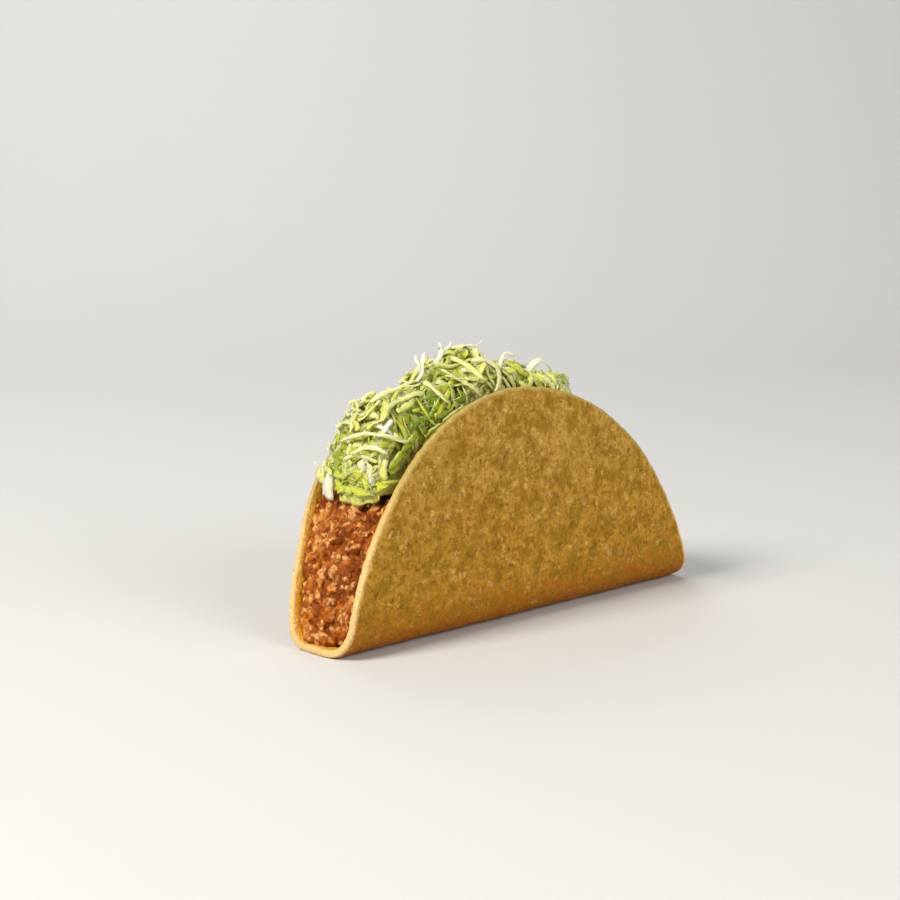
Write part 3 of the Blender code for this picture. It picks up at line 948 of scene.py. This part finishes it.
# %% [markdown]
# ## Pushing the shreds apart
# Blender's own physics could drop a thousand ribbons, but slowly, and never into a shape that is known
# beforehand. A few rules applied in turn do the same for chains of points: points of different shreds
# that are too close move apart, links and bends keep their length, and a point that stands out of the
# heap, or has sunk too deep, moves back. After some fifty rounds the shreds rest on each other.

# %% Pairs of points, and how they move
def close_pairs(points, owner):
    """Pairs of points of different chains that lie within reach of each other."""
    tree = KDTree(len(points))
    for i, point in enumerate(points):
        tree.insert(point, i)
    tree.balance()
    reach = SHRED_GAP * 1.5
    near = ((i, j) for i, point in enumerate(points) for _, j, _ in tree.find_range(point, reach) if j > i)
    pairs = np.array([pair for pair in near if owner[pair[0]] != owner[pair[1]]])
    return pairs[:, 0], pairs[:, 1]


def move_pairs(points, weight, first, second, wanted, stiffness, only_apart=False):
    """Moves both points of each pair towards the distance they should have."""
    gap = points[second] - points[first]
    distance = np.linalg.norm(gap, axis=1) + 1e-9
    error = distance - wanted
    if only_apart:
        error = np.minimum(error, 0)
    step = gap * (stiffness * error / distance / 2)[:, None]
    shift = np.zeros_like(points)
    np.add.at(shift, first, step)
    np.add.at(shift, second, -step)
    points += shift * weight[:, None]


# %% Rounds of pushing
ROUNDS = 50
SETTLED = 1.7 * MM  # how far under the heap's outline the middles of free shreds have to lie
PUSH_APART = 0.6  # this and the next two are the shares of an error that one round mends
KEEP_BENDS = 0.5
KEEP_LINKS = 0.9


def back_inside(points, free, lifted):
    """Moves points that stand out of the heap, or have sunk too deep, back to where they may lie."""
    for i in np.flatnonzero(free):
        place, out = heap_surface(points[i])
        height = (Vector(points[i]) - place).dot(out)
        allowed = lifted[i] - SETTLED
        if height > allowed:
            points[i] -= np.array(out) * (height - allowed)
        elif height < -DEEPEST:
            points[i] -= np.array(out) * (height + DEEPEST) * 0.5
        between_walls(points[i], WALL_GAP, NEAR_WALL_GAP)


def settle(chains):
    """Relaxes all chains together, so that shreds rest on each other inside the heap's outline."""
    points = np.array([p for chain in chains for p in chain["points"]])
    owner = np.array([i for i, chain in enumerate(chains) for _ in chain["points"]])
    free = np.array([0.0 if chain["fixed"] else 1.0 for chain in chains for _ in chain["points"]])
    lifted = np.array([chain["lift"] for chain in chains for _ in chain["points"]])
    links = np.flatnonzero(owner[1:] == owner[:-1])
    bends = np.flatnonzero(owner[2:] == owner[:-2])
    link_length = np.linalg.norm(points[links + 1] - points[links], axis=1)
    bend_length = np.linalg.norm(points[bends + 2] - points[bends], axis=1)
    for turn in range(ROUNDS):
        if turn % 10 == 0:
            first, second = close_pairs(points, owner)
        move_pairs(points, free, first, second, SHRED_GAP, PUSH_APART, only_apart=True)
        move_pairs(points, free, bends, bends + 2, bend_length, KEEP_BENDS)
        move_pairs(points, free, links, links + 1, link_length, KEEP_LINKS)
        if turn % 5 == 4:
            back_inside(points, free, lifted)
    for i, chain in enumerate(chains):
        chain["points"] = points[owner == i]
    first, second = close_pairs(points, owner)
    left = np.linalg.norm(points[first] - points[second], axis=1)
    close = int((left < SHRED_GAP / 2).sum())
    print(len(chains), "shreds,", len(points), "points,", close, "pairs still touch")


# %% [markdown]
# ## A ribbon's body
# Each chain becomes a closed ribbon: a flat, pointed section is carried along it, rolled and twisted,
# cupped like a piece of leaf, and frilled at its edges. Broad pieces have more strips across, so that
# they can crumple. Each point stores how green it is and how near the ribbon's edge it lies, where the
# finish paints a pale highlight.

# %% A ribbon's cut and its axes
RING_STEP = 0.95 * MM
BROAD_STRIP = 0.75 * MM


def section(strips):
    """A shred's cut: pointed at both edges, with `strips` points on each flat side."""
    inner = np.linspace(-1, 1, strips + 2)[1:-1]
    top = [(a, 1) for a in inner]
    return [(-1, 0), *top, (1, 0), *((a, -1) for a, _ in reversed(top))]


def ribbon_axes(chain, line):
    """At each point of a line, the way across the ribbon and the way out of its flat side."""
    along = np.gradient(line, axis=0)
    along /= np.linalg.norm(along, axis=1)[:, None]
    outs = np.array([chain["facing"] or heap_surface(p)[1] for p in line])
    padded = np.pad(outs, ((2, 2), (0, 0)), mode="edge")
    outs = np.stack([np.convolve(padded[:, k], np.ones(5) / 5, mode="valid") for k in range(3)], axis=1)
    side = np.cross(along, outs)
    side /= np.linalg.norm(side, axis=1)[:, None]
    up = np.cross(side, along)
    roll = chain["roll"] + chain["twist"] * (np.linspace(0, 1, len(line)) - 0.5)
    across = side * np.cos(roll)[:, None] + up * np.sin(roll)[:, None]
    flat = up * np.cos(roll)[:, None] - side * np.sin(roll)[:, None]
    return across, flat


def ribbon_faces(rings, size):
    """Four-sided faces between the rings, and one face to close each end."""
    pairs = [(i, (i + 1) % size) for i in range(size)]
    starts = range(0, (rings - 1) * size, size)
    faces = [[s + i, s + j, s + size + j, s + size + i] for s in starts for i, j in pairs]
    faces.append(list(range(size))[::-1])
    faces.append([(rings - 1) * size + i for i in range(size)])
    return faces


print("a leaf's cut has", len(section(KINDS["leaf"]["strips"])), "points")

# %% A ribbon
SKIN_WALL_GAP = 0.12 * MM


def ribbon(chain):
    """A ribbon along a chain: points, faces, and how green and how near an edge each point is."""
    kind = KINDS[chain["kind"]]
    broad = chain["kind"] == "broad"
    line = smooth_line(chain["points"], RING_STEP)
    rings = len(line)
    across, flat = ribbon_axes(chain, line)
    share = np.linspace(0, 1, rings)
    taper = np.minimum(1, np.minimum(share, 1 - share) * rings * 0.17 + kind["blunt"])
    phase = chain["phase"]
    ragged = kind["ragged"] * noise_at(line, 2.6 * MM, phase + 9)
    wobble = 1 + ragged + 0.12 * np.sin(share * chain["wave"])
    width = chain["width"] / 2 * taper * wobble
    thick = chain["thickness"] / 2 * np.minimum(1, taper + 0.15)
    frill = chain["frill"] * np.sin(share * chain["wave"] * 2.7 + phase * 3)
    cut = section(max(kind["strips"], int(chain["width"] / BROAD_STRIP)) if broad else kind["strips"])
    points = []
    for a, n in cut:
        place = line + across * (a * width)[:, None]
        crumple = noise_at(place, 3.2 * MM, phase) + 0.35 * noise_at(place, 1.4 * MM, phase)
        crumple = crumple * chain["crumple"]
        lift = n * thick + chain["cup"] * width * a * a + frill * a + crumple
        points.append(place + flat * lift[:, None])
    points = np.stack(points, axis=1).reshape(-1, 3)
    for point in points:
        between_walls(point, SKIN_WALL_GAP)
    rim = np.tile([abs(a) for a, _ in cut], rings)
    green = np.repeat(chain["green"] + chain["fade"] * (share - 0.5), len(cut))
    if broad:
        green = green + 0.35 * rim ** 2
    return points, ribbon_faces(rings, len(cut)), green, rim


# %% All ribbons of one kind
def join_ribbons(name, chains, finish, rng):
    """All ribbons of one kind as one mesh."""
    points, faces, greens, rims, tones = [], [], [], [], []
    start = 0
    for chain in chains:
        body, body_faces, green, rim = ribbon(chain)
        points.append(body)
        greens.append(green)
        rims.append(rim)
        tones.append(np.full(len(body), rng.uniform(0, 1)))
        faces += [[i + start for i in face] for face in body_faces]
        start += len(body)
    stored = {"green": greens, "rim": rims, "tone": tones}
    stored = {key: np.concatenate(values) for key, values in stored.items()}
    make_piece(name, np.concatenate(points), faces, finish, stored)


# %% [markdown]
# ## The lettuce's finish
# A leaf is thin and wet inside, so light passes through it: subsurface scattering does that. Its colour
# runs from the white of the rib through pale yellow to the green of the frill. The mesh stores where a
# point stands between those as one number, noise shifts it in patches and flecks, and a colour ramp turns
# it into a colour. Fine veins are paler, and the cut edges get a painted highlight.

# %% Crisp leaf
def crisp_leaf():
    """Wet leaf that lets light through, from white rib to green frill."""
    finish = Finish("crisp_leaf")
    green = finish.attribute("green")
    tone = finish.attribute("tone")
    rim = finish.attribute("rim")
    patch = finish.grain(3.0 * MM, 2.0)
    fleck = finish.grain(1.2 * MM, 2.0, 0.6, 0.5)
    amount = green + 0.35 * (patch - 0.5) + 0.45 * (fleck - 0.5) + 0.14 * (tone - 0.5)
    stops = [
        (0.0, (0.90, 0.90, 0.66)),
        (0.20, (0.80, 0.785, 0.32)),
        (0.42, (0.73, 0.74, 0.165)),
        (0.64, (0.57, 0.61, 0.045)),
        (0.84, (0.36, 0.44, 0.010)),
        (1.0, (0.16, 0.24, 0.002)),
    ]
    base = finish.node("ShaderNodeValToRGB", {"stops": stops}, {0: 0.2 + 0.8 * amount})
    veins = finish.step(finish.grain(0.8 * MM, 2.0, 0.6, 1.0), 0.42, 0.68)
    base = finish.mix(base, (0.88, 0.85, 0.54), veins * 0.10)
    # painted highlight: the ribbons' edges are painted paler, as light caught at them
    base = finish.mix(base, (0.92, 0.90, 0.50), finish.step(rim, 0.55, 1.0) * 0.10)
    normal = finish.bump(finish.grain(1.1 * MM, 2.0, 0.5, 0.5), 0.25 * MM, 0.7)
    finish.set(Base_Color=base, Normal=normal, Roughness=0.34 + 0.16 * patch)
    finish.set(Specular_IOR_Level=0.22, Specular_Tint=(1.0, 1.0, 0.80))
    finish.set(Subsurface_Weight=0.80, Subsurface_Scale=2.2 * MM, Subsurface_Radius=(1.0, 1.0, 0.85))
    return finish.told()


# %% [markdown]
# ## Shredding the lettuce
# What is left is to draw each shred's size, colour and set at random, within the limits of its kind. The
# shreds by the walls and those deeper in the heap are painted greener, and so darker: partly green leaf,
# partly painted shade where the heap is deep and along the walls. A few patches of the heap are greener or
# paler than the rest. The core shares the shreds' finish, so a gap looks like more lettuce.

# %% Size, colour and set of each shred
# place, reach and how much greener the shreds are there, the first two in millimetres
GREENER = (
    ((-39.0, -6.0, 60.0), 10.0, 0.46),
    ((-27.0, -7.5, 63.0), 12.0, 0.75),
    ((-47.0, 1.5, 63.5), 8.0, -0.30),
    ((-52.5, -3.0, 41.5), 8.0, 0.30),
    ((-52.0, -3.0, 49.0), 4.0, -0.35),
)


def dress(chains, rng):
    """Draws each shred's size, colour and set. Those listed one by one keep their own width and green."""
    for chain in chains:
        depth = chain["depth"] / DEEPEST
        kind = chain["kind"]
        known = KINDS[kind]
        middle = Vector(chain["points"][len(chain["points"]) // 2])
        from_wall = trees["tortilla_shell"].find_nearest(middle)[3]
        # partly painted shade: deep shreds and those by the walls are greener, and so darker
        green = rng.uniform(*known["green"]) + (0.30 * depth if kind != "rib" else 0)
        green += 0.62 * float(1 - fade(from_wall, 1 * MM, 5 * MM))
        for place, reach, more in GREENER:
            away = (middle - Vector(place) * MM).length
            green += more * float(1 - fade(away, 0.3 * reach * MM, reach * MM))
        chain.setdefault("width", rng.uniform(*known["width"]) * MM)
        chain.setdefault("green", green)
        chain["thickness"] = rng.uniform(*known["thickness"]) * MM
        by_hand = 0.35 if chain["fixed"] else 1.0
        chain["roll"] = rng.normal(0, 0.55) * by_hand
        chain["twist"] = rng.normal(0, 1.2) * by_hand
        chain["wave"] = rng.uniform(7, 16)
        chain["phase"] = rng.uniform(0, 2 * pi)
        chain["frill"] = 0.0 if kind == "rib" else rng.uniform(0.1, 0.45) * MM
        chain["cup"] = rng.uniform(-0.15, 0.35) * (0.4 if kind == "broad" else 1.0)
        chain["crumple"] = known["crumple"] * MM
        chain["fade"] = rng.uniform(-0.35, 0.35) * by_hand


# %% Lay, settle and dress the shreds
SHREDS = 900
rng = np.random.default_rng(37)
shreds = hand_laid_shreds() + hang_shreds(np.random.default_rng(5)) + lay_shreds(SHREDS, rng)
settle(shreds)
dress(shreds, rng)

# %% Build the heap
leaf_finish = crisp_leaf()
core_of(
    "shredded_lettuce", "lettuce_core", 2.8 * MM, 1.2 * MM, 0.9 * MM, leaf_finish,
    {"green": 0.46, "tone": 0.5, "rim": 0.0},
)
for kind in KINDS:
    alike = [chain for chain in shreds if chain["kind"] == kind]
    join_ribbons("lettuce_" + kind + "_shreds", alike, leaf_finish, rng)


# %% [markdown]
# ## Camera, light and floor
# The camera stands in front of the open end, a little above the table, with a long lens, as food is
# usually pictured. A large soft light comes from above on the open end's side, a weaker one fills the
# near wall, and a third, cooler one lights the crest from behind. The floor is a pale sheet that turns up
# into a wall.

# %% Aim a camera or a light
def aim(thing, target):
    """Turns a camera or a light towards a point."""
    thing.rotation_mode = "QUATERNION"
    thing.rotation_quaternion = (Vector(target) - thing.location).to_track_quat("-Z", "Y")


# %% Camera
CAMERA_PLACE = (-0.4334, -0.4196, 0.1511)
CAMERA_TARGET = (-0.0066, 0.0114, 0.0469)
lens = bpy.data.cameras.new("camera")
lens.lens = 85
lens.sensor_width = 36
lens.clip_start = 0.02
lens.clip_end = 20
camera = add_object("camera", lens)
camera.location = CAMERA_PLACE
aim(camera, CAMERA_TARGET)
bpy.context.scene.camera = camera
print("camera", round((camera.location - Vector(CAMERA_TARGET)).length, 2), "m from the taco")

# %% Lights
LIT_PLACE = (0, 0, 0.03)


def soft_light(name, place, size, watts, colour):
    """A round, soft light that points at the taco."""
    lamp = bpy.data.lights.new(name, "AREA")
    lamp.shape = "DISK"
    lamp.size = size
    lamp.energy = watts
    lamp.color = colour
    made = add_object(name, lamp)
    made.location = place
    aim(made, LIT_PLACE)
    print("light", name, watts, "W")


soft_light("key", (-0.95, 0.10, 0.85), 0.5, 17.0, (1.0, 0.965, 0.91))
soft_light("fill", (0.10, -1.20, 0.60), 0.9, 9.0, (1.0, 0.98, 0.95))
soft_light("back", (0.45, 0.9, 0.8), 0.7, 3.5, (0.95, 0.97, 1.0))

world = bpy.data.worlds.new("studio")
world.use_nodes = True
surroundings = world.node_tree.nodes["Background"]
surroundings.inputs["Color"].default_value = (0.90, 0.90, 0.92, 1)
surroundings.inputs["Strength"].default_value = 0.30
bpy.context.scene.world = world
bpy.context.scene.view_settings.view_transform = "Standard"


# %% Floor
FLOOR_BACK = 0.55
FLOOR_TURN = 0.6
FLOOR_REACH = 3.0
FLOOR_WAY = Vector((0.7193, 0.6947, 0))


def sweep_floor():
    """A pale floor that turns up into a wall behind, so that no horizon shows."""
    finish = Finish("pale_paper")
    finish.set(Base_Color=(0.64, 0.635, 0.62), Roughness=0.85)
    curve = [(FLOOR_TURN * sin(a), FLOOR_TURN * (1 - cos(a))) for a in np.linspace(0.1, pi / 2, 16)]
    profile = [(-FLOOR_REACH, 0.0), (FLOOR_BACK, 0.0), *((FLOOR_BACK + d, h) for d, h in curve)]
    profile.append((FLOOR_BACK + FLOOR_TURN, FLOOR_REACH))
    side = Vector((FLOOR_WAY.y, -FLOOR_WAY.x, 0)) * FLOOR_REACH
    points = [FLOOR_WAY * d + side * s + Vector((0, 0, h)) for d, h in profile for s in (-1, 1)]
    faces = [[2 * i, 2 * i + 1, 2 * i + 3, 2 * i + 2] for i in range(len(profile) - 1)]
    floor = add_mesh("floor", np.array(points), faces)
    floor.data.shade_smooth()
    floor.data.materials.append(finish.material)
    print("floor", len(faces), "faces")


sweep_floor()

# %% [markdown]
# ## The solids' size
# The dressed taco has to keep the size of the imported solids. Their box is written down.

# %% The solids' size
print("the solids measure", *(round(v / MM, 1) for v in cad_box[1] - cad_box[0]), "mm")
